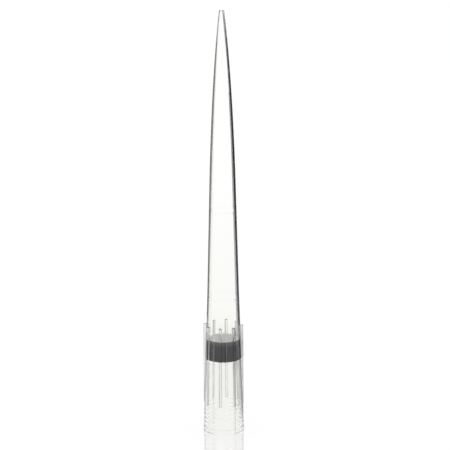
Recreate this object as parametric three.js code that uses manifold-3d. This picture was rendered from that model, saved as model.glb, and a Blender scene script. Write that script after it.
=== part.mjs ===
// A long filter pipette tip that stands on its open mouth, with its point up.
// Two pieces: the clear moulded tip, and the porous plug pressed into its bore.
// Millimetres, +Z up. The axis of the tip is Z, and the rim of the mouth lies on z = 0.

import * as THREE from "three";
import { mergeVertices } from "three/addons/utils/BufferGeometryUtils.js";
import Module from "manifold-3d";

// Lengths of the moulding, from the mouth up
const collarLength = 33;
const barrelLength = 27;
const shoulderLength = 26;
const pointLength = 16;

// Outer diameters where those lengths meet, and at the top of the grooved band round the mouth
const mouthDiameter = 9.5;
const bandTopDiameter = 9.3;
const collarTopDiameter = 7.56;
const barrelTopDiameter = 6.22;
const shoulderDiameter = 4.88;
const endDiameter = 1.15;

// Wall, which thins along the nose
const barrelWall = 0.46;
const endWall = 0.34;
const mouthChamfer = 0.12;

// Lip round the mouth, and the grooves above it
const lipDiameter = 9.6;
const lipHeight = 1;
const lipEdge = 0.12;
const grooveCount = 6;
const groovePitch = 1.04;
const grooveWidth = 0.44;
const grooveDepth = 0.1;

// Fins that stand on the collar above the grooves
const finCount = 8;
const finLength = 19.4;
const finThickness = 0.55;
const finFootDiameter = 9.54;
const finTopDiameter = 9.45;

// Two fill marks, at the collar's top and on the barrel
const markHeight = 21;
const markWidth = 0.3;
const markDepth = 0.03;

// Filter plug
const plugSeatHeight = 17.7;
const plugLength = 5.05;
const plugClearance = 0.05;

// Facets of the round surfaces
const roundSegments = 48;
const noseSteps = 12;

const wasm = await Module();
wasm.setup();

const barrelTop = collarLength + barrelLength;
const shoulderTop = barrelTop + shoulderLength;
const tipTop = shoulderTop + pointLength;
const finFoot = lipHeight + (grooveCount - 1) * groovePitch + grooveWidth;

function solidFrom(geometry) {
  geometry.deleteAttribute("normal");
  geometry.deleteAttribute("uv");
  const merged = mergeVertices(geometry, 1e-5);
  return new wasm.Manifold(
    new wasm.Mesh({
      numProp: 3,
      vertProperties: merged.attributes.position.array,
      triVerts: new Uint32Array(merged.index.array),
    }),
  );
}

function meshFrom(solid, name, material) {
  const { vertProperties, triVerts } = solid.getMesh();
  const geometry = new THREE.BufferGeometry();
  geometry.setAttribute("position", new THREE.BufferAttribute(vertProperties, 3));
  geometry.setIndex(new THREE.BufferAttribute(triVerts, 1));
  geometry.computeVertexNormals();
  const mesh = new THREE.Mesh(geometry, material);
  mesh.name = name;
  return mesh;
}

// An outline in the (radius, height) plane, turned round the Z axis.
function turned(outline) {
  const geometry = new THREE.LatheGeometry(outline, roundSegments);
  geometry.rotateX(Math.PI / 2);
  return solidFrom(geometry);
}

// The radius of a rising line of (radius, height) points at one height.
function radiusAt(line, height) {
  const next = Math.max(1, line.findIndex((point) => point.y >= height));
  const [low, high] = [line[next - 1], line[next]];
  return THREE.MathUtils.mapLinear(height, low.y, high.y, low.x, high.x);
}

// Outside of the moulding without its lip, grooves and marks: three cones, then the nose's curve.
// The curve leaves the barrel towards the shoulder point and reaches the end from it.
function taperLine() {
  const nose = new THREE.QuadraticBezierCurve(
    new THREE.Vector2(barrelTopDiameter / 2, barrelTop),
    new THREE.Vector2(shoulderDiameter / 2, shoulderTop),
    new THREE.Vector2(endDiameter / 2, tipTop),
  );
  return [
    new THREE.Vector2(mouthDiameter / 2, 0),
    new THREE.Vector2(bandTopDiameter / 2, finFoot),
    new THREE.Vector2(collarTopDiameter / 2, collarLength),
    ...nose.getPoints(noseSteps),
  ];
}

// Inside of the moulding: the taper moved in by the wall, which thins from the barrel to the end.
function boreLine(taper) {
  return taper.map((point) => {
    const alongNose = Math.max(0, (point.y - barrelTop) / (tipTop - barrelTop));
    const wall = THREE.MathUtils.lerp(barrelWall, endWall, alongNose);
    return new THREE.Vector2(point.x - wall, point.y);
  });
}

// Three points that cut a groove of the given width and depth into the taper.
function groovePoints(taper, height, width, depth) {
  return [-width / 2, 0, width / 2].map((offset) => {
    const radius = radiusAt(taper, height + offset);
    return new THREE.Vector2(offset === 0 ? radius - depth : radius, height + offset);
  });
}

// The lip's outside, from the rim on the floor to the first groove.
function lipPoints(taper) {
  const lipRadius = lipDiameter / 2;
  return [
    new THREE.Vector2(lipRadius - lipEdge, 0),
    new THREE.Vector2(lipRadius, lipEdge),
    new THREE.Vector2(lipRadius, lipHeight - lipEdge),
    new THREE.Vector2(radiusAt(taper, lipHeight), lipHeight),
  ];
}

function shellSolid(taper, bore) {
  const grooves = [];
  for (let i = 0; i < grooveCount; i += 1) {
    const height = lipHeight + grooveWidth / 2 + i * groovePitch;
    grooves.push(...groovePoints(taper, height, grooveWidth, grooveDepth));
  }
  const marks = [collarLength, collarLength + markHeight].flatMap((height) =>
    groovePoints(taper, height, markWidth, markDepth),
  );
  const plain = taper.filter((point) => point.y > collarLength);
  const above = [...marks, ...plain].sort((a, b) => a.y - b.y);
  const outside = [...lipPoints(taper), ...grooves.slice(1), ...above];
  const mouth = new THREE.Vector2(radiusAt(bore, mouthChamfer) + mouthChamfer, 0);
  const chamferTop = new THREE.Vector2(radiusAt(bore, mouthChamfer), mouthChamfer);
  const inside = [mouth, chamferTop, ...bore.slice(1)].reverse();
  return turned([...outside, ...inside, outside[0]]);
}

// A fin: a thin plate rooted halfway into the wall, with a nearly upright outer edge.
function finSolid(taper, turn) {
  const top = finFoot + finLength;
  const rootAt = (height) => radiusAt(taper, height) - barrelWall / 2;
  const plate = new THREE.Shape([
    new THREE.Vector2(rootAt(finFoot), finFoot),
    new THREE.Vector2(finFootDiameter / 2, finFoot),
    new THREE.Vector2(finTopDiameter / 2, top),
    new THREE.Vector2(rootAt(top), top),
  ]);
  const geometry = new THREE.ExtrudeGeometry(plate, { depth: finThickness, bevelEnabled: false });
  geometry.translate(0, 0, -finThickness / 2);
  geometry.rotateX(Math.PI / 2);
  geometry.rotateZ(turn);
  return solidFrom(geometry);
}

function tipBody(taper, bore) {
  let solid = shellSolid(taper, bore);
  for (let i = 0; i < finCount; i += 1) {
    solid = solid.add(finSolid(taper, (i * 2 * Math.PI) / finCount));
  }
  const clear = new THREE.MeshStandardMaterial({
    color: 0xeef2ee,
    roughness: 0.08,
    metalness: 0,
    transparent: true,
    opacity: 0.35,
  });
  return meshFrom(solid, "tip_body", clear);
}

// The plug follows the bore's taper at the clearance, so it stays seated wherever the bore changes.
function filterPlug(bore) {
  const bottom = plugSeatHeight;
  const top = plugSeatHeight + plugLength;
  const side = [bottom, ...bore.map((point) => point.y), top]
    .filter((height) => height >= bottom && height <= top)
    .sort((a, b) => a - b)
    .map((height) => new THREE.Vector2(radiusAt(bore, height) - plugClearance, height));
  const outline = [new THREE.Vector2(0, bottom), ...side, new THREE.Vector2(0, top)];
  const porous = new THREE.MeshStandardMaterial({ color: 0x6e6f70, roughness: 0.95, metalness: 0 });
  return meshFrom(turned(outline), "filter_plug", porous);
}

const taper = taperLine();
const bore = boreLine(taper);

const group = new THREE.Group();
group.name = "filter_pipette_tip";
group.add(tipBody(taper, bore));
group.add(filterPlug(bore));

export default group;
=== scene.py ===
import math

import bpy
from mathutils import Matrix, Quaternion, Vector


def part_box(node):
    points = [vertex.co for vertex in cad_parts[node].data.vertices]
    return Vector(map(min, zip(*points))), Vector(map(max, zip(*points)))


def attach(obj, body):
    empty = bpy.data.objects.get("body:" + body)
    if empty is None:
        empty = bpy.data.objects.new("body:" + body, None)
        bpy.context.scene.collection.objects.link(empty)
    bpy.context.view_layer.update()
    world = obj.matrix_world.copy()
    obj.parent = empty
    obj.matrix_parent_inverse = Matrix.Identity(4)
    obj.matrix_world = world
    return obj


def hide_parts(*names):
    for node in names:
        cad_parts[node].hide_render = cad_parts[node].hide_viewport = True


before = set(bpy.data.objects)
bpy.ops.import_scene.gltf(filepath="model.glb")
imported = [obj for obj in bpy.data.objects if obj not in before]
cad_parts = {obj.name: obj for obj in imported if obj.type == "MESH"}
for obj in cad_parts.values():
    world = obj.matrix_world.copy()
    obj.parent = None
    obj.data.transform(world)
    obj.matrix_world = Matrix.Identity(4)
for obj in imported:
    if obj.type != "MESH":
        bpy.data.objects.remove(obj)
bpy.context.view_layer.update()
print("frame loaded")

millimetre = 0.001
white = (1.0, 1.0, 1.0, 1.0)


class Wire:
    # wraps one output socket; an operator on it adds a Math node

    def __init__(self, tree, socket):
        self.tree = tree
        self.socket = socket

    def maths(self, operation, first, second=0.0):
        made = self.tree.node("ShaderNodeMath", {"operation": operation}, {0: first, 1: second})
        return Wire(self.tree, made.outputs[0])

    def __add__(self, other):
        return self.maths("ADD", self, other)

    def __radd__(self, other):
        return self.maths("ADD", other, self)

    def __sub__(self, other):
        return self.maths("SUBTRACT", self, other)

    def __rsub__(self, other):
        return self.maths("SUBTRACT", other, self)

    def __mul__(self, other):
        return self.maths("MULTIPLY", self, other)

    def __rmul__(self, other):
        return self.maths("MULTIPLY", other, self)

    def __truediv__(self, other):
        return self.maths("DIVIDE", self, other)

    def __rtruediv__(self, other):
        return self.maths("DIVIDE", other, self)


class Tree:
    # adds nodes of any type to one node tree

    def __init__(self, nodeTree):
        self.nodes = nodeTree.nodes
        self.links = nodeTree.links

    def node(self, kind, settings=None, inputs=None):
        made = self.nodes.new(kind)
        for name, value in (settings or {}).items():
            if name == "stops":
                self.setStops(made.color_ramp.elements, value)
            else:
                setattr(made, name, value)
        for name, value in (inputs or {}).items():
            self.feed(made.inputs[name], value)
        return made

    def setStops(self, elements, stops):
        while len(elements) < len(stops):
            elements.new(1.0)
        for element, (position, colour) in zip(elements, stops):
            element.position = position
            element.color = colour

    def feed(self, socket, value):
        if isinstance(value, Wire):
            self.links.new(value.socket, socket)
        elif isinstance(value, bpy.types.NodeSocket):
            self.links.new(value, socket)
        else:
            socket.default_value = value

    def wire(self, node, output=0):
        return Wire(self, node.outputs[output])


def newMaterial(name):
    material = bpy.data.materials.new(name)
    material.use_nodes = True
    material.node_tree.nodes.clear()
    return material, Tree(material.node_tree)


# sizes in millimetres, from the mouth up, and angles in degrees
moulding = {
    "collarLength": 33.0,
    "barrelLength": 27.0,
    "shoulderLength": 26.0,
    "pointLength": 16.0,
    "mouthDiameter": 9.5,
    "bandTopDiameter": 9.3,
    "collarTopDiameter": 7.56,
    "barrelTopDiameter": 6.22,
    "shoulderDiameter": 4.88,
    "endDiameter": 1.15,
    "barrelWall": 0.46,
    "endWall": 0.34,
    "mouthChamfer": 0.12,
    "lipDiameter": 9.6,
    "lipHeight": 1.0,
    "edgeRound": 0.12,
    "grooveCount": 6,
    "groovePitch": 1.04,
    "grooveWidth": 0.44,
    "grooveDepth": 0.1,
    "markHeight": 21.0,
    "markWidth": 0.3,
    "markDepth": 0.03,
    "cornerSteps": 4,
    "grooveSteps": 6,
    "taperRows": 70,
    "boreRows": 60,
    "boreTolerance": 0.01,
    "weldDistance": 0.002,
    "smoothAngle": 35.0,
}

fins = {
    "count": 8,
    "length": 19.4,
    "thickness": 0.55,
    "footDiameter": 9.54,
    "topDiameter": 9.45,
    "edgeRound": 0.14,
    "rootFillet": 0.12,
    "rows": 12,
    "cornerSteps": 5,
    "filletSteps": 3,
    "openColumns": 9,
}

barrelTop = moulding["collarLength"] + moulding["barrelLength"]
shoulderTop = barrelTop + moulding["shoulderLength"]
tipTop = shoulderTop + moulding["pointLength"]
finFoot = (moulding["lipHeight"] + moulding["grooveWidth"]
           + (moulding["grooveCount"] - 1) * moulding["groovePitch"])
finTop = finFoot + fins["length"]


def mix(low, high, share):
    return low + (high - low) * share


def taperRadius(height):
    # three cones, then a curve that bends towards the shoulder point and in to the end
    m = moulding
    if height <= finFoot:
        return mix(m["mouthDiameter"], m["bandTopDiameter"], height / finFoot) / 2
    if height <= m["collarLength"]:
        share = (height - finFoot) / (m["collarLength"] - finFoot)
        return mix(m["bandTopDiameter"], m["collarTopDiameter"], share) / 2
    if height <= barrelTop:
        share = (height - m["collarLength"]) / m["barrelLength"]
        return mix(m["collarTopDiameter"], m["barrelTopDiameter"], share) / 2
    bend = barrelTop - 2 * shoulderTop + tipTop
    run = 2 * m["shoulderLength"]
    share = (math.sqrt(max(0.0, run ** 2 - 4 * bend * (barrelTop - height))) - run) / (2 * bend)
    lower = mix(m["barrelTopDiameter"], m["shoulderDiameter"], share)
    upper = mix(m["shoulderDiameter"], m["endDiameter"], share)
    return mix(lower, upper, share) / 2


def boreRadius(height):
    alongNose = max(0.0, (height - barrelTop) / (tipTop - barrelTop))
    return taperRadius(height) - mix(moulding["barrelWall"], moulding["endWall"], alongNose)


def finRadius(height):
    share = (height - finFoot) / fins["length"]
    return mix(fins["footDiameter"], fins["topDiameter"], share) / 2


def span(start, stop, steps):
    return [mix(start, stop, i / steps) for i in range(steps + 1)]


def quarterRound(size, steps):
    # how far a rounded edge falls short, outwards and upwards, along its quarter turn
    turns = span(0.0, math.pi / 2, steps)
    return [(size * (1 - math.cos(turn)), size * (1 - math.sin(turn))) for turn in turns]


# A row is one ring of the moulding: its radius, its height, and how far out a fin may reach there.

def grooveRows(middle, width, depth):
    rows = []
    for offset in span(-width / 2, width / 2, moulding["grooveSteps"]):
        dip = depth * (0.5 + 0.5 * math.cos(2 * math.pi * offset / width))
        height = middle + offset
        rows.append((taperRadius(height) - dip, height, None))
    return rows


def lipRows():
    m = moulding
    lip = m["lipDiameter"] / 2
    corner = quarterRound(m["edgeRound"], m["cornerSteps"])
    foot = [(lip - out, up, None) for out, up in reversed(corner)]
    head = [(lip - out, m["lipHeight"] - up, None) for out, up in corner]
    return foot + head


def finRows():
    size = fins["edgeRound"]
    corner = quarterRound(size, fins["cornerSteps"])
    fillet = quarterRound(fins["rootFillet"], fins["filletSteps"])
    rows = [(taperRadius(finFoot), finFoot, None)]
    for out, up in reversed(corner):
        height = finFoot + up
        rows.append((taperRadius(height), height, finRadius(height) - out))
    for height in span(finFoot + size, finTop - size, fins["rows"])[1:-1]:
        rows.append((taperRadius(height), height, finRadius(height)))
    for out, up in corner:
        height = finTop - up
        rows.append((taperRadius(height), height, finRadius(height) - out))
    for up, out in fillet:
        height = finTop + up
        rows.append((taperRadius(height), height, taperRadius(height) + out))
    return rows


def outsideRows():
    # the lip's rows come first, in their own order; all others go up by height
    m = moulding
    rows = []
    for i in range(m["grooveCount"]):
        middle = m["lipHeight"] + m["grooveWidth"] / 2 + i * m["groovePitch"]
        rows += grooveRows(middle, m["grooveWidth"], m["grooveDepth"])
    rows += finRows()
    marks = [m["collarLength"], m["collarLength"] + m["markHeight"]]
    endBevel = m["endWall"] / 3
    plain = span(finTop + fins["rootFillet"], tipTop - endBevel, m["taperRows"])[1:]
    rows += [(taperRadius(height), height, None) for height in plain
             if all(abs(height - mark) > m["markWidth"] for mark in marks)]
    for mark in marks:
        rows += grooveRows(mark, m["markWidth"], m["markDepth"])
    return lipRows() + sorted(rows, key=lambda row: row[1])


def insideRows():
    # down the bore from the end to the chamfer at the mouth
    chamfer = moulding["mouthChamfer"]
    heights = span(tipTop, chamfer, moulding["boreRows"])
    rows = [(boreRadius(height), height, None) for height in heights]
    return rows + [(boreRadius(chamfer) + chamfer, 0.0, None)]


# A column is one upright line of the moulding, from the middle of a fin to the middle of the gap
# beside it. It turns a row's radius, height and reach into a radius and a turn about the axis.

plainRadius = taperRadius(finTop)
rootOffset = fins["thickness"] / 2 + fins["rootFillet"]
halfSector = math.pi / fins["count"]


def headColumn(offset, short):
    # on the fin's outer edge, which falls short of the full reach where it is rounded
    def place(radius, height, reach):
        if reach is None:
            return radius, math.asin(offset / plainRadius)
        radius = min(reach, finRadius(height) - short)
        return radius, math.asin(offset / radius)
    return place


def rootColumn(offset, rise):
    # in the fillet between the fin and the collar
    def place(radius, height, reach):
        if reach is None:
            return radius, math.asin(offset / plainRadius)
        radius = min(reach, radius + rise)
        return radius, math.asin(offset / radius)
    return place


def openColumn(share):
    # on the bare collar between two fins
    def place(radius, height, reach):
        start = math.asin(rootOffset / (plainRadius if reach is None else radius))
        return radius, mix(start, halfSector, share)
    return place


def halfColumns():
    half = fins["thickness"] / 2
    size = fins["edgeRound"]
    fillet = fins["rootFillet"]
    columns = [headColumn(0.0, 0.0)]
    for turn in span(0.0, math.pi / 2, fins["cornerSteps"]):
        short = size * (1 - math.cos(turn))
        columns.append(headColumn(half - size + size * math.sin(turn), short))
    for out, up in quarterRound(fillet, fins["filletSteps"]):
        columns.append(rootColumn(half + out, up))
    for share in span(0.0, 1.0, fins["openColumns"])[1:]:
        columns.append(openColumn(share))
    return columns


def sectorMesh():
    # one fin with its share of the collar, taper and bore; rows run round the closed section,
    # and each point is painted with how far it belongs to the skin, to a fin or to a fill mark
    rows = outsideRows() + insideRows()
    columns = [(place, -1) for place in reversed(halfColumns()[1:])]
    columns += [(place, 1) for place in halfColumns()]
    points = []
    paint = {"skin": [], "fin": [], "mark": []}
    for radius, height, reach in rows:
        outside = radius > boreRadius(height) + moulding["boreTolerance"]
        sunk = (taperRadius(height) - radius) / moulding["markDepth"]
        for place, side in columns:
            out, turn = place(radius, height, reach)
            along = out * math.cos(turn)
            across = out * math.sin(turn) * side
            points.append((along * millimetre, across * millimetre, height * millimetre))
            paint["skin"].append(float(outside and out == radius))
            paint["fin"].append(float(out > radius))
            paint["mark"].append(sunk if outside and height > finTop else 0.0)
    faces = []
    width = len(columns)
    for row in range(len(rows)):
        low = row * width
        high = (row + 1) % len(rows) * width
        for i in range(width - 1):
            faces.append((low + i, low + i + 1, high + i + 1, high + i))
    mesh = bpy.data.meshes.new("tipSector")
    mesh.from_pydata(points, [], faces)
    for name, values in paint.items():
        mesh.attributes.new(name, "FLOAT", "POINT").data.foreach_set("value", values)
    return mesh


def newGeometryGroup(name, inputs):
    # a group that a geometry goes through, with further inputs of the given kinds
    group = bpy.data.node_groups.new(name, "GeometryNodeTree")
    face = group.interface
    face.new_socket("Geometry", in_out="INPUT", socket_type="NodeSocketGeometry")
    for label, kind in inputs.items():
        face.new_socket(label, in_out="INPUT", socket_type=kind)
    face.new_socket("Geometry", in_out="OUTPUT", socket_type="NodeSocketGeometry")
    return group, Tree(group)


def putThrough(group, mesh, name, values):
    # the mesh as the group makes it from the given inputs, in an object without modifiers
    source = bpy.data.objects.new(name + "Source", mesh)
    bpy.context.scene.collection.objects.link(source)
    modifier = source.modifiers.new(group.name, "NODES")
    modifier.node_group = group
    for socket in group.interface.items_tree:
        if socket.name in values:
            modifier[socket.identifier] = values[socket.name]
    evaluated = source.evaluated_get(bpy.context.evaluated_depsgraph_get())
    made = bpy.data.objects.new(name, bpy.data.meshes.new_from_object(evaluated))
    bpy.context.scene.collection.objects.link(made)
    bpy.data.objects.remove(source)
    return made


def shadeByAngle(piece, degrees):
    # smooth shading, with an edge kept sharp where its faces meet at more than the angle
    piece.data.shade_smooth()
    piece.data.set_sharp_from_angle(angle=math.radians(degrees))


def ringGroup():
    # repeats the sector round the axis, and welds the copies into one closed moulding
    group, tree = newGeometryGroup("ringOfSectors", {
        "Count": "NodeSocketInt",
        "Weld Distance": "NodeSocketFloat",
        "Material": "NodeSocketMaterial",
    })
    given = tree.node("NodeGroupInput")
    index = tree.node("GeometryNodeInputIndex")
    points = tree.node("GeometryNodePoints", None, {"Count": given.outputs["Count"]})
    turn = tree.wire(index) * (2 * math.pi) / tree.wire(given, "Count")
    rotation = tree.node("ShaderNodeCombineXYZ", None, {"Z": turn})
    copies = tree.node("GeometryNodeInstanceOnPoints", None, {
        "Points": points.outputs[0],
        "Instance": given.outputs["Geometry"],
        "Rotation": rotation.outputs[0],
    })
    real = tree.node("GeometryNodeRealizeInstances", None, {"Geometry": copies.outputs[0]})
    welded = tree.node("GeometryNodeMergeByDistance", None, {
        "Geometry": real.outputs[0],
        "Distance": given.outputs["Weld Distance"],
    })
    painted = tree.node("GeometryNodeSetMaterial", None, {
        "Geometry": welded.outputs[0],
        "Material": given.outputs["Material"],
    })
    tree.node("NodeGroupOutput", None, {"Geometry": painted.outputs[0]})
    return group


def makeTipBody(material):
    made = putThrough(ringGroup(), sectorMesh(), "clearMoulding", {
        "Count": fins["count"],
        "Weld Distance": moulding["weldDistance"] * millimetre,
        "Material": material,
    })
    shadeByAngle(made, moulding["smoothAngle"])
    return made


# sizes in millimetres, with the angle in degrees; the place comes from the solid
plug = {
    "pressIn": 0.02,
    "edgeRound": 0.12,
    "columns": 280,
    "sideRows": 40,
    "faceRings": 40,
    "cornerSteps": 3,
    "grainSize": 0.16,
    "grainDepth": 0.03,
    "grainSmoothness": 0.4,
    "smoothAngle": 60.0,
}


def plugRows():
    # the section of the plug from the middle of its lower face to the middle of its upper face
    low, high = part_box("filter_plug")
    bottom = low.z / millimetre
    top = high.z / millimetre
    size = plug["edgeRound"]
    corner = quarterRound(size, plug["cornerSteps"])
    bottomRadius = boreRadius(bottom) + plug["pressIn"]
    topRadius = boreRadius(top) + plug["pressIn"]
    outward = span(0.0, 1.0, plug["faceRings"])[1:]
    upward = span(bottom + size, top - size, plug["sideRows"])[1:]
    inward = span(1.0, 0.0, plug["faceRings"])[1:-1]
    rows = [(share * (bottomRadius - size), bottom) for share in outward]
    rows += [(bottomRadius - out, bottom + up) for out, up in corner[-2::-1]]
    rows += [(boreRadius(height) + plug["pressIn"], height) for height in upward]
    rows += [(topRadius - out, top - up) for out, up in corner[1:]]
    rows += [(share * (topRadius - size), top) for share in inward]
    return rows, bottom, top


def plugMesh():
    rows, bottom, top = plugRows()
    count = plug["columns"]
    points = [(0.0, 0.0, bottom * millimetre)]
    for radius, height in rows:
        for i in range(count):
            turn = 2 * math.pi * i / count
            along = radius * math.cos(turn)
            across = radius * math.sin(turn)
            points.append((along * millimetre, across * millimetre, height * millimetre))
    points.append((0.0, 0.0, top * millimetre))
    last = len(points) - 1
    faces = []
    for i in range(count):
        beside = (i + 1) % count
        faces.append((0, 1 + beside, 1 + i))
        faces.append((last, last - count + i, last - count + beside))
        for row in range(len(rows) - 1):
            start = 1 + row * count
            faces.append((start + i, start + beside, start + count + beside, start + count + i))
    mesh = bpy.data.meshes.new("plug")
    mesh.from_pydata(points, [], faces)
    return mesh


def grainGroup():
    # presses sintered grains into the two faces of the plug, and leaves its side round
    group, tree = newGeometryGroup("sinteredGrain", {
        "Grain Size": "NodeSocketFloat",
        "Grain Depth": "NodeSocketFloat",
        "Smoothness": "NodeSocketFloat",
        "Material": "NodeSocketMaterial",
    })
    given = tree.node("NodeGroupInput")
    normal = tree.node("GeometryNodeInputNormal")
    split = tree.node("ShaderNodeSeparateXYZ", None, {0: normal.outputs[0]})
    upright = tree.wire(split, "Z")
    grains = tree.node("ShaderNodeTexVoronoi", {"feature": "SMOOTH_F1"}, {
        "Scale": 1.0 / tree.wire(given, "Grain Size"),
        "Smoothness": given.outputs["Smoothness"],
    })
    sink = tree.wire(grains, "Distance") * tree.wire(given, "Grain Depth") * upright
    offset = tree.node("ShaderNodeCombineXYZ", None, {"Z": 0.0 - sink})
    moved = tree.node("GeometryNodeSetPosition", None, {
        "Geometry": given.outputs["Geometry"],
        "Offset": offset.outputs[0],
    })
    painted = tree.node("GeometryNodeSetMaterial", None, {
        "Geometry": moved.outputs[0],
        "Material": given.outputs["Material"],
    })
    real = tree.node("GeometryNodeRealizeInstances", None, {"Geometry": painted.outputs[0]})
    tree.node("NodeGroupOutput", None, {"Geometry": real.outputs[0]})
    return group


def makePlug(material):
    made = putThrough(grainGroup(), plugMesh(), "sinteredPlug", {
        "Grain Size": plug["grainSize"] * millimetre,
        "Grain Depth": plug["grainDepth"] * millimetre,
        "Smoothness": plug["grainSmoothness"],
        "Material": material,
    })
    shadeByAngle(made, plug["smoothAngle"])
    return made


# heights and sizes in metres; the colour ramp, by the share of the height up to its top, is a pale
# tint with painted shade low down
clearPlastic = {
    "shadedTintTop": 0.060,
    "shadedTint": [
        (0.00, (0.956, 0.956, 0.947, 1.0)),
        (0.13, (0.937, 0.941, 0.920, 1.0)),
        (0.28, (0.936, 0.940, 0.918, 1.0)),
        (0.46, (0.974, 0.977, 0.955, 1.0)),
        (1.00, (1.0, 1.0, 0.998, 1.0)),
    ],
    # the colour that all the painted shade on the clear plastic mixes towards
    "edgeShadeColour": (0.028, 0.028, 0.021, 1.0),
    "leavingLess": 0.6,
    "edgeGrowth": 3.0,
    "edgeFrom": 0.56,
    "edgeTo": 0.70,
    "edgeLow": 0.0,
    "edgeHigh": 0.03,
    "edgeLeast": 0.7,
    "endFrom": 0.094,
    "endTo": 0.102,
    "endLeast": 0.75,
    "markShade": 0.16,
    "bend": 1.49,
    "tint": (0.82, 0.86, 0.80, 1.0),
    "density": 45.0,
    "finHaze": 0.03,
    "finFrom": -0.08,
    "finTo": 0.42,
    "finShade": 0.55,
    "seamWidth": 0.00016,
    "seamShade": 0.85,
    "waveSize": 0.0008,
    "waveStretch": 0.04,
    "waveDepth": 0.0000012,
    "leastRoughness": 0.01,
    "waveRoughness": 0.03,
    "shadowTint": (0.99, 0.99, 0.985, 1.0),
}


def makeClearPlastic():
    material, tree = newMaterial("clearPlastic")
    place = tree.node("ShaderNodeTexCoord")
    split = tree.node("ShaderNodeSeparateXYZ", None, {0: place.outputs["Object"]})
    # painted shade: the pale tint darkens low down on the moulding, most on the collar, by height
    # alone
    shadedTint = tree.node("ShaderNodeValToRGB", {"stops": clearPlastic["shadedTint"]}, {
        "Fac": tree.wire(split, "Z") / clearPlastic["shadedTintTop"],
    })
    # painted shade: the skin darkens where it is seen edge-on, more so higher up, in place of the
    # dark surroundings its sides bend into view
    facing = tree.node("ShaderNodeLayerWeight")
    edge = tree.node("ShaderNodeMapRange", {"interpolation_type": "SMOOTHSTEP"}, {
        "Value": tree.wire(facing, "Facing") + tree.wire(split, "Z") * clearPlastic["edgeGrowth"],
        "From Min": clearPlastic["edgeFrom"],
        "From Max": clearPlastic["edgeTo"],
    })
    surfaceSide = tree.node("ShaderNodeNewGeometry")
    entering = 1.0 - tree.wire(surfaceSide, "Backfacing") * clearPlastic["leavingLess"]
    skin = tree.node("ShaderNodeAttribute", {"attribute_name": "skin"})
    fin = tree.node("ShaderNodeAttribute", {"attribute_name": "fin"})
    # painted shade along the two fill marks, in place of the light their shallow grooves bend
    mark = tree.node("ShaderNodeAttribute", {"attribute_name": "mark"})
    fade = tree.node("ShaderNodeMapRange", None, {
        "Value": tree.wire(split, "Z"),
        "From Min": clearPlastic["edgeLow"],
        "From Max": clearPlastic["edgeHigh"],
        "To Min": clearPlastic["edgeLeast"],
    })
    endFade = tree.node("ShaderNodeMapRange", None, {
        "Value": tree.wire(split, "Z"),
        "From Min": clearPlastic["endFrom"],
        "From Max": clearPlastic["endTo"],
        "To Min": 1.0,
        "To Max": clearPlastic["endLeast"],
    })
    # painted shade on the fins, darker the more edge-on a face is seen, in place of the light they
    # bend
    finSide = tree.node("ShaderNodeMapRange", None, {
        "Value": tree.wire(facing, "Facing"),
        "From Min": clearPlastic["finFrom"],
        "From Max": clearPlastic["finTo"],
        "To Max": clearPlastic["finShade"],
    })
    # The split mould leaves a fine seam on two opposite fins and on the band below them, drawn as
    # a painted dark line: shade in place of the light its ridge bends. X + Y is the distance off
    # the seam's plane, times the square root of two.
    offSeam = tree.node("ShaderNodeMath", {"operation": "ABSOLUTE"}, {
        0: tree.wire(split, "X") + tree.wire(split, "Y"),
    })
    seam = tree.node("ShaderNodeMapRange", None, {
        "Value": tree.wire(offSeam),
        "From Max": clearPlastic["seamWidth"] * math.sqrt(2),
        "To Min": clearPlastic["seamShade"],
        "To Max": 0.0,
    })
    belowTop = tree.node("ShaderNodeMath", {"operation": "LESS_THAN"}, {
        0: tree.wire(split, "Z"), 1: finTop * millimetre,
    })
    onSkin = tree.wire(skin, "Fac")
    onFin = tree.wire(fin, "Fac")
    # all the painted shade on the clear plastic, faded near the mouth and the end, goes into its
    # colour
    skinShade = tree.wire(edge) * onSkin * tree.wire(fade) * tree.wire(endFade) * entering
    extraShade = (tree.wire(finSide) * onFin
                  + tree.wire(mark, "Fac") * clearPlastic["markShade"]
                  + tree.wire(seam) * tree.wire(belowTop) * (onSkin + onFin))
    colour = tree.node("ShaderNodeMix", {"data_type": "RGBA"}, {
        "Factor": skinShade + extraShade,
        "A": shadedTint.outputs[0],
        "B": clearPlastic["edgeShadeColour"],
    })
    drawn = tree.node("ShaderNodeVectorMath", {"operation": "MULTIPLY"}, {
        0: place.outputs["Object"], 1: (1.0, 1.0, clearPlastic["waveStretch"]),
    })
    flow = tree.node("ShaderNodeTexNoise", None, {
        "Vector": drawn.outputs[0], "Scale": 1.0 / clearPlastic["waveSize"],
    })
    wave = tree.node("ShaderNodeBump", None, {
        "Height": tree.wire(flow), "Distance": clearPlastic["waveDepth"], "Strength": 1.0,
    })
    roughness = (clearPlastic["leastRoughness"] + tree.wire(flow) * clearPlastic["waveRoughness"]
                 + onFin * clearPlastic["finHaze"])
    shader = tree.node("ShaderNodeBsdfPrincipled", None, {
        "Base Color": colour.outputs[2],
        "Roughness": roughness,
        "IOR": clearPlastic["bend"],
        "Transmission Weight": 1.0,
        "Normal": wave.outputs[0],
    })
    # light on its way to the floor goes straight through, so that the shadow stays soft and pale
    clear = tree.node("ShaderNodeBsdfTransparent", None, {"Color": clearPlastic["shadowTint"]})
    path = tree.node("ShaderNodeLightPath")
    surface = tree.node("ShaderNodeMixShader", None, {
        0: tree.wire(path, "Is Shadow Ray") + tree.wire(path, "Is Diffuse Ray"),
        1: shader.outputs[0],
        2: clear.outputs[0],
    })
    depth = tree.node("ShaderNodeVolumeAbsorption", None, {
        "Color": clearPlastic["tint"],
        "Density": clearPlastic["density"],
    })
    tree.node("ShaderNodeOutputMaterial", None, {
        "Surface": surface.outputs[0],
        "Volume": depth.outputs[0],
    })
    return material


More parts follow.
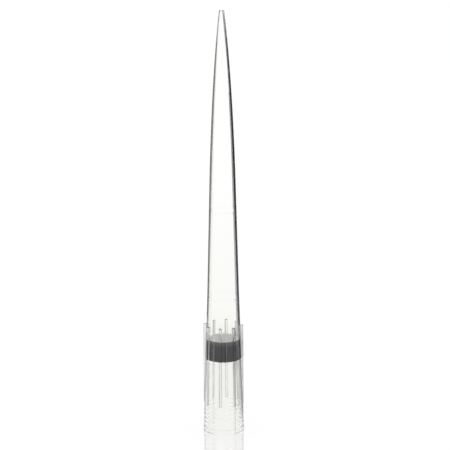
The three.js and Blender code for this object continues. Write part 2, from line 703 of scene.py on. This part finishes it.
# topLightDepth in millimetres, gritDepth in metres, and the scales in cells to the metre
porousGrey = {
    "sideColour": (0.036, 0.036, 0.038, 1.0),
    "faceColour": (0.445, 0.445, 0.445, 1.0),
    "faceFrom": 0.3,
    "faceTo": 0.8,
    "topLightDepth": 1.3,
    "topLightShare": 0.2,
    "poreScale": 9000.0,
    "blotchScale": 1600.0,
    "blotchDetail": 3.0,
    "leastShade": 0.82,
    "poreShade": 0.2,
    "blotchShade": 0.2,
    "leastRoughness": 0.82,
    "blotchRoughness": 0.15,
    "gritDepth": 0.00002,
    "gritStrength": 0.6,
    "specular": 0.2,
}


def makePorousGrey():
    # the side is dark partly where it is pressed to the wall and partly as painted shade; the two
    # faces are lighter as painted light, and the top edge lighter still as painted light from
    # above
    material, tree = newMaterial("porousGrey")
    place = tree.node("ShaderNodeTexCoord")
    normal = tree.node("ShaderNodeNewGeometry")
    split = tree.node("ShaderNodeSeparateXYZ", None, {0: normal.outputs["Normal"]})
    upright = tree.node("ShaderNodeMath", {"operation": "ABSOLUTE"}, {0: tree.wire(split, "Z")})
    # painted light: the faces, which point up or down, take the lighter colour, and the side the
    # darker
    faceShare = tree.node("ShaderNodeMapRange", None, {
        "Value": tree.wire(upright),
        "From Min": porousGrey["faceFrom"],
        "From Max": porousGrey["faceTo"],
    })
    pores = tree.node("ShaderNodeTexVoronoi", None, {
        "Vector": place.outputs["Object"], "Scale": porousGrey["poreScale"],
    })
    blotches = tree.node("ShaderNodeTexNoise", None, {
        "Vector": place.outputs["Object"],
        "Scale": porousGrey["blotchScale"],
        "Detail": porousGrey["blotchDetail"],
    })
    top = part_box("filter_plug")[1].z
    height = tree.node("ShaderNodeSeparateXYZ", None, {0: place.outputs["Object"]})
    # painted light from above: the side grows lighter towards the top edge
    paintedTopLight = tree.node("ShaderNodeMapRange", None, {
        "Value": tree.wire(height, "Z"),
        "From Min": top - porousGrey["topLightDepth"] * millimetre,
        "From Max": top,
        "To Max": porousGrey["topLightShare"],
    })
    base = tree.node("ShaderNodeMix", {"data_type": "RGBA"}, {
        "Factor": tree.wire(faceShare) + tree.wire(paintedTopLight),
        "A": porousGrey["sideColour"],
        "B": porousGrey["faceColour"],
    })
    shade = (porousGrey["leastShade"] + tree.wire(pores, "Distance") * porousGrey["poreShade"]
             + tree.wire(blotches) * porousGrey["blotchShade"])
    speckled = tree.node("ShaderNodeVectorMath", {"operation": "SCALE"}, {
        0: base.outputs[2], "Scale": shade,
    })
    grit = tree.node("ShaderNodeBump", None, {
        "Height": tree.wire(pores, "Distance"),
        "Distance": porousGrey["gritDepth"],
        "Strength": porousGrey["gritStrength"],
    })
    shader = tree.node("ShaderNodeBsdfPrincipled", None, {
        "Base Color": speckled.outputs[0],
        "Roughness": (porousGrey["leastRoughness"]
                      + tree.wire(blotches) * porousGrey["blotchRoughness"]),
        "Specular IOR Level": porousGrey["specular"],
        "Normal": grit.outputs[0],
    })
    tree.node("ShaderNodeOutputMaterial", None, {"Surface": shader.outputs[0]})
    return material


# sizes in metres, and the softbox's power in watts
studio = {
    "floorSize": 3.0,
    "floorColour": white,
    "floorGloss": 0.55,
    "floorRoughness": 0.05,
    "skyLight": 0.88,
    "softboxSize": 1.5,
    "softboxHeight": 1.5,
    "softboxPower": 4.2,
    "cardLift": 0.0002,
    "bounces": 24,  # light that is caught in the fins leaves them only after many turns
}

# degrees and metres, with the lens and the sensor in millimetres
viewFrom = {
    "azimuth": 9.8,
    "elevation": 15.3,
    "distance": 0.9,
    "lean": -0.31,
    "lens": 306.25,
    "sensor": 36.0,
    "lookAcross": 0.00052,
    "lookHeight": 0.05039,
}

# what the flags show, by the share of their reach from the object
flagReach = 0.9
flagShade = [
    (0.00, (0.50, 0.51, 0.51, 1.0)),
    (0.11, (0.22, 0.24, 0.27, 1.0)),
    (0.19, (0.16, 0.17, 0.19, 1.0)),
    (0.27, (0.08, 0.08, 0.08, 1.0)),
    (0.40, (0.04, 0.04, 0.04, 1.0)),
]
stripShade = [(0.0, white), (1.0, white)]

# Cards on the floor that only the object's gloss and clear plastic show: turns from the camera,
# going to its right, and distances from the axis. The flags lie behind the object and darken its
# clear sides. The strips lie in front of it and show as bright and dark lines in its gloss.
cards = {
    "rightFlag": {"turns": (118.0, 163.5), "distances": (0.014, flagReach), "shade": flagShade,
                  "strength": 1.0, "transmission": True},
    "innerFlag": {"turns": (163.5, 166.5), "distances": (0.05, 0.36), "shade": flagShade,
                  "strength": 1.0, "transmission": True},
    "leftFlag": {"turns": (200.0, 225.0), "distances": (0.1, flagReach), "shade": flagShade,
                 "strength": 1.0, "transmission": False},
    "gapStrip": {"turns": (9.5, 17.0), "distances": (0.05, 0.11), "shade": stripShade,
                 "strength": 0.0, "transmission": False},
    "brightStrip": {"turns": (17.0, 21.5), "distances": (0.05, 0.11), "shade": stripShade,
                    "strength": 3.0, "transmission": False},
    "sideBrightStrip": {"turns": (-70.0, -60.0), "distances": (0.05, 0.11), "shade": stripShade,
                        "strength": 2.5, "transmission": False},
}


def turnedPlace(azimuth, elevation, distance):
    # a place round the object; azimuth 0 is in front of it, along -Y
    turn = math.radians(azimuth)
    rise = math.radians(elevation)
    level = math.cos(rise)
    return Vector((math.sin(turn) * level, -math.cos(turn) * level, math.sin(rise))) * distance


def stagePiece(name, points, material):
    # one flat face of the studio, which isn't part of the object
    mesh = bpy.data.meshes.new(name)
    mesh.from_pydata(points, [], [tuple(range(len(points)))])
    mesh.materials.append(material)
    made = bpy.data.objects.new(name, mesh)
    bpy.context.scene.collection.objects.link(made)
    return made


def makeFloor():
    reach = studio["floorSize"] / 2
    material, tree = newMaterial("whiteAcrylic")
    matt = tree.node("ShaderNodeBsdfDiffuse", None, {"Color": studio["floorColour"]})
    gloss = tree.node("ShaderNodeBsdfGlossy", None, {
        "Color": white, "Roughness": studio["floorRoughness"],
    })
    surface = tree.node("ShaderNodeMixShader", None, {
        0: studio["floorGloss"], 1: matt.outputs[0], 2: gloss.outputs[0],
    })
    tree.node("ShaderNodeOutputMaterial", None, {"Surface": surface.outputs[0]})
    corners = [(-reach, -reach, 0.0), (reach, -reach, 0.0),
               (reach, reach, 0.0), (-reach, reach, 0.0)]
    stagePiece("floor", corners, material)


def makeCard(name, card):
    # shines upwards only, and is clear from below
    near, far = card["distances"]
    start, stop = [viewFrom["azimuth"] + turn for turn in card["turns"]]
    sides = [(start, near), (start, far), (stop, far), (stop, near)]
    lift = Vector((0.0, 0.0, studio["cardLift"]))
    corners = [turnedPlace(turn, 0.0, distance) + lift for turn, distance in sides]
    material, tree = newMaterial(name)
    place = tree.node("ShaderNodeTexCoord")
    away = tree.node("ShaderNodeVectorMath", {"operation": "LENGTH"}, {0: place.outputs["Object"]})
    shade = tree.node("ShaderNodeValToRGB", {"stops": card["shade"]}, {
        "Fac": tree.wire(away, "Value") / flagReach,
    })
    shown = tree.node("ShaderNodeEmission", None, {
        "Color": shade.outputs[0], "Strength": card["strength"],
    })
    under = tree.node("ShaderNodeBsdfTransparent")
    side = tree.node("ShaderNodeNewGeometry")
    topOnly = tree.node("ShaderNodeMixShader", None, {
        0: side.outputs["Backfacing"], 1: shown.outputs[0], 2: under.outputs[0],
    })
    tree.node("ShaderNodeOutputMaterial", None, {"Surface": topOnly.outputs[0]})
    piece = stagePiece(name, corners, material)
    piece.visible_camera = False
    piece.visible_diffuse = False
    piece.visible_shadow = False
    piece.visible_volume_scatter = False
    piece.visible_transmission = card["transmission"]


def makeWorld():
    # lights the scene a little below white, and shows white itself, in gloss and plastic too
    world = bpy.data.worlds.new("studioSky")
    bpy.context.scene.world = world
    world.use_nodes = True
    world.node_tree.nodes.clear()
    tree = Tree(world.node_tree)
    path = tree.node("ShaderNodeLightPath")
    seen = (tree.wire(path, "Is Camera Ray") + tree.wire(path, "Is Glossy Ray")
            + tree.wire(path, "Is Transmission Ray"))
    shown = tree.node("ShaderNodeMath", {"operation": "MINIMUM"}, {0: seen, 1: 1.0})
    strength = studio["skyLight"] + tree.wire(shown) * (1.0 - studio["skyLight"])
    sky = tree.node("ShaderNodeBackground", None, {"Color": white, "Strength": strength})
    tree.node("ShaderNodeOutputWorld", None, {"Surface": sky.outputs[0]})


def makeSoftbox():
    data = bpy.data.lights.new("softbox", "AREA")
    data.shape = "SQUARE"
    data.size = studio["softboxSize"]
    data.energy = studio["softboxPower"]
    softbox = bpy.data.objects.new("softbox", data)
    softbox.location = (0.0, 0.0, studio["softboxHeight"])
    bpy.context.scene.collection.objects.link(softbox)


def makeCamera():
    data = bpy.data.cameras.new("camera")
    data.lens = viewFrom["lens"]
    data.sensor_width = viewFrom["sensor"]
    camera = bpy.data.objects.new("camera", data)
    bpy.context.scene.collection.objects.link(camera)
    turn = math.radians(viewFrom["azimuth"])
    right = Vector((math.cos(turn), math.sin(turn), 0.0))
    away = turnedPlace(viewFrom["azimuth"], viewFrom["elevation"], viewFrom["distance"])
    look = right * viewFrom["lookAcross"] + Vector((0.0, 0.0, viewFrom["lookHeight"]))
    camera.location = look + away
    camera.rotation_mode = "QUATERNION"
    aim = (-away).to_track_quat("-Z", "Y")
    lean = Quaternion((0.0, 0.0, 1.0), math.radians(viewFrom["lean"]))
    camera.rotation_quaternion = aim @ lean
    bpy.context.scene.camera = camera


bpy.context.scene.view_settings.view_transform = "Standard"
lightPaths = bpy.context.scene.cycles
lightPaths.max_bounces = studio["bounces"]
lightPaths.glossy_bounces = studio["bounces"]
lightPaths.transmission_bounces = studio["bounces"]
makeWorld()
makeSoftbox()
makeFloor()
for name, card in cards.items():
    makeCard(name, card)
makeCamera()
print("studio made")

body = makeTipBody(makeClearPlastic())
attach(body, "root")
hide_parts("tip_body")
print("moulding made:", len(body.data.polygons), "faces")

filterPlug = makePlug(makePorousGrey())
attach(filterPlug, "root")
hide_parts("filter_plug")
print("plug made:", len(filterPlug.data.polygons), "faces")
